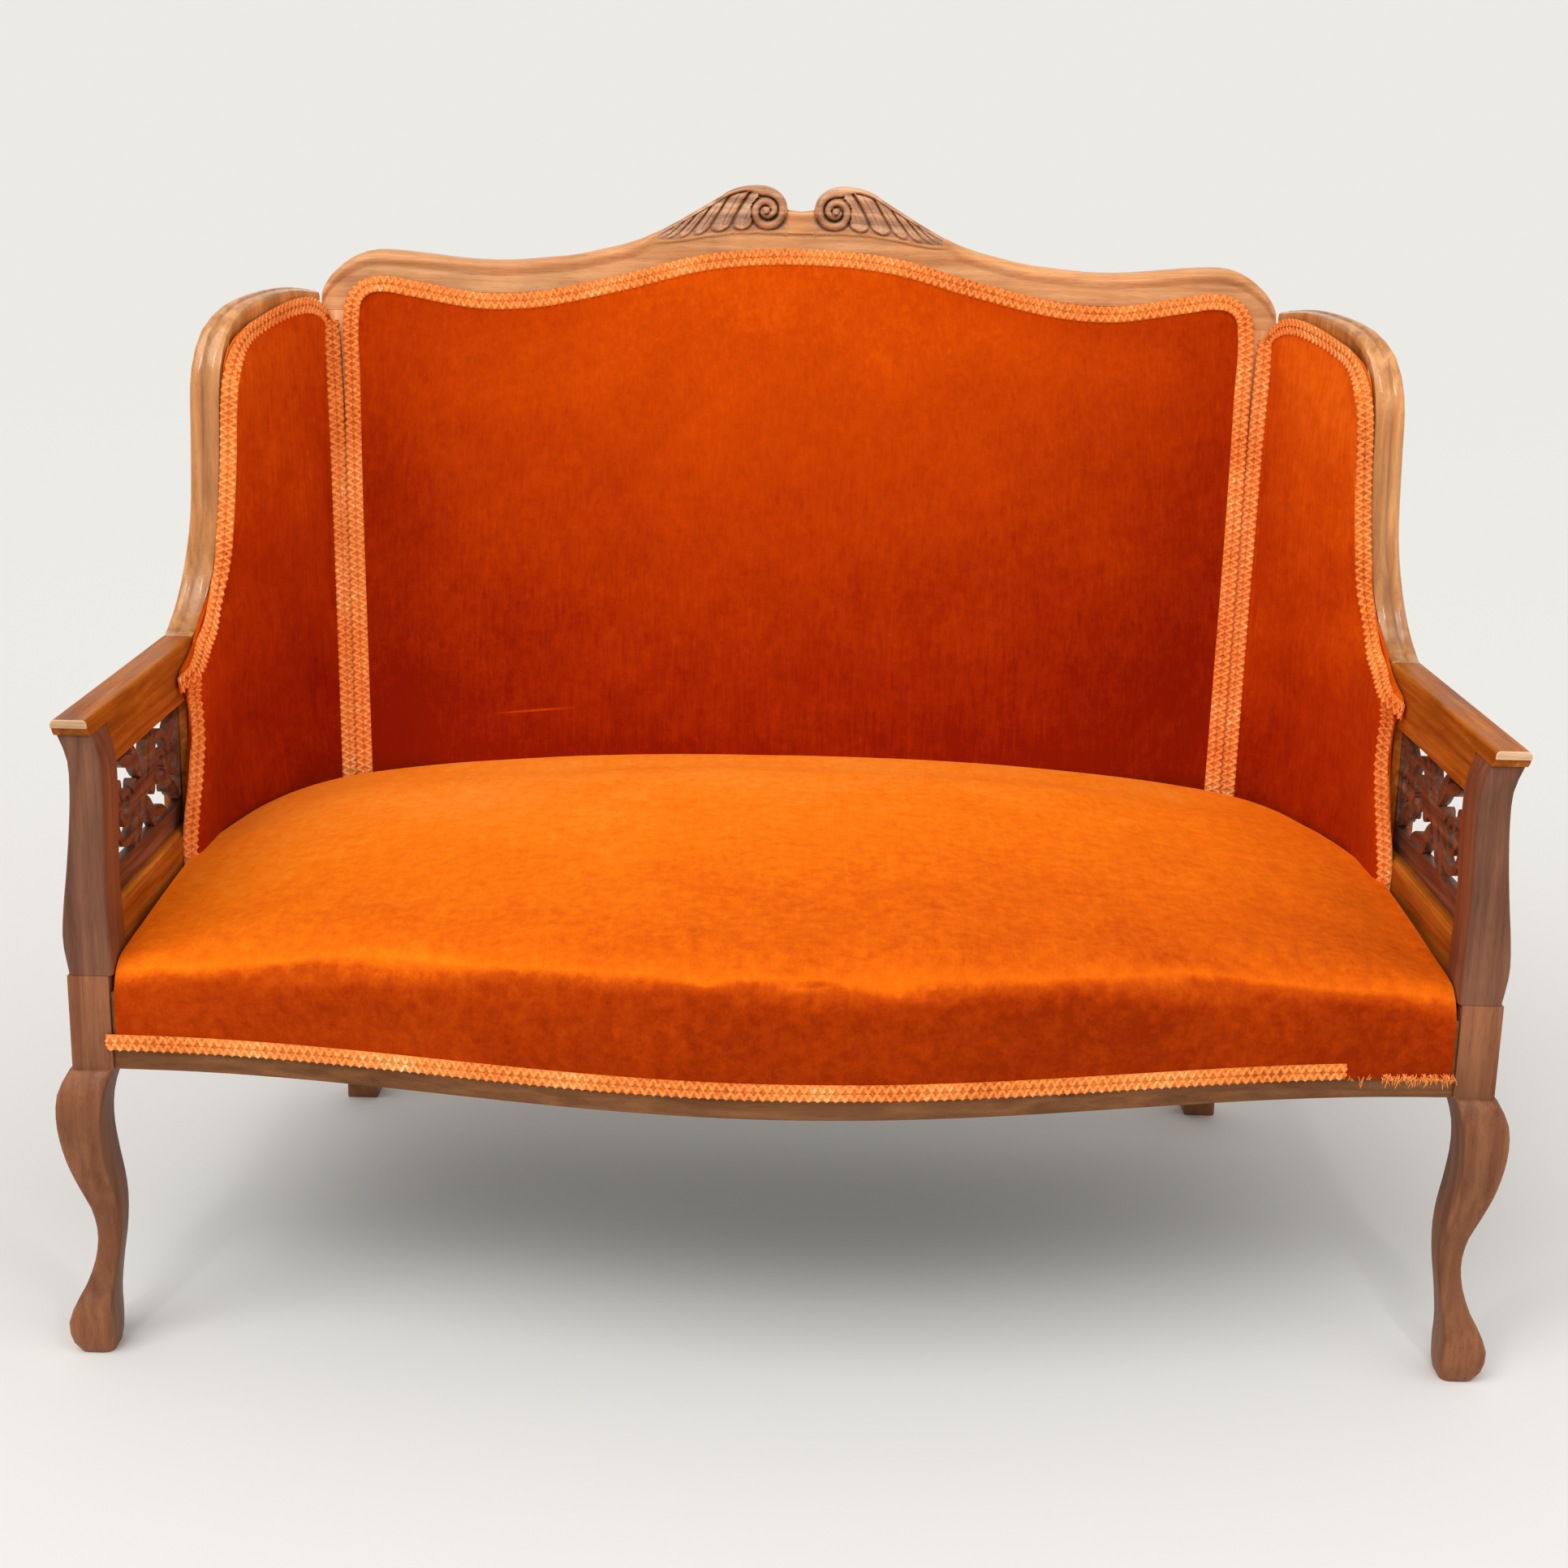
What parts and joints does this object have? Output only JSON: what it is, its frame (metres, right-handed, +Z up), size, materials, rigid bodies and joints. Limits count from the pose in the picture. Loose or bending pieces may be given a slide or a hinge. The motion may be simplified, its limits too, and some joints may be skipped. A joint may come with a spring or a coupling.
{
  "type": "wing settee",
  "caption": "Show-wood wing settee with a serpentine front, pierced arm panels, carved crest, velvet upholstery and braid trim.",
  "frame": {"origin": "centre of the bounding box, on the floor", "axes": "+X along the settee towards the viewer's right, +Y from the front to the back, +Z up"},
  "size_m": [1.2434, 0.7424, 0.9991],
  "materials": {
    "show_wood": "semi-gloss mahogany stain",
    "leg_wood": "worn satin mahogany stain",
    "rail_wood": "dull mahogany stain",
    "fret_wood": "satin mahogany stain",
    "frame_wood": "planed beech",
    "block_wood": "sawn beech",
    "velvet": "rust-orange cotton velvet",
    "outside_velvet": "rust-orange cotton velvet",
    "braid": "woven upholstery braid",
    "webbing": "jute webbing",
    "hessian": "hessian",
    "dust_cloth": "black cambric",
    "spring_wire": "coppered spring wire"
  },
  "bodies": {
    "root": {"front_leg_left": "leg_wood", "front_leg_right": "leg_wood", "back_post_left": "leg_wood", "back_post_right": "leg_wood", "front_seat_rail": "rail_wood", "back_seat_rail": "frame_wood", "side_seat_rail_left": "frame_wood", "side_seat_rail_right": "frame_wood", "glue_block_front_left": "block_wood", "glue_block_front_right": "block_wood", "glue_block_back_left": "block_wood", "glue_block_back_right": "block_wood", "arm_post_left": "leg_wood", "arm_post_right": "leg_wood", "arm_rail_left": "show_wood", "arm_rail_right": "show_wood", "panel_rail_left": "show_wood", "panel_rail_right": "show_wood", "arm_stile_left": "show_wood", "arm_stile_right": "show_wood", "fretwork_left": "fret_wood", "fretwork_right": "fret_wood", "wing_rail_left": "frame_wood", "wing_rail_right": "frame_wood", "wing_stile_left": "frame_wood", "wing_stile_right": "frame_wood", "wing_frame_left": "show_wood", "wing_frame_right": "show_wood", "back_tack_rail": "frame_wood", "crest_rail": "show_wood", "seat_webbing": "webbing", "seat_springs": "spring_wire", "seat_hessian": "hessian", "seat_pad": "velvet", "seat_braid": "braid", "bottom_cloth": "dust_cloth", "back_webbing": "webbing", "back_hessian": "hessian", "back_pad": "velvet", "back_braid": "braid", "outside_back": "outside_velvet", "wing_pad_left": "velvet", "wing_pad_right": "velvet", "wing_braid_left": "braid", "wing_braid_right": "braid", "outside_wing_left": "outside_velvet", "outside_wing_right": "outside_velvet"}
  },
  "joints": []
}
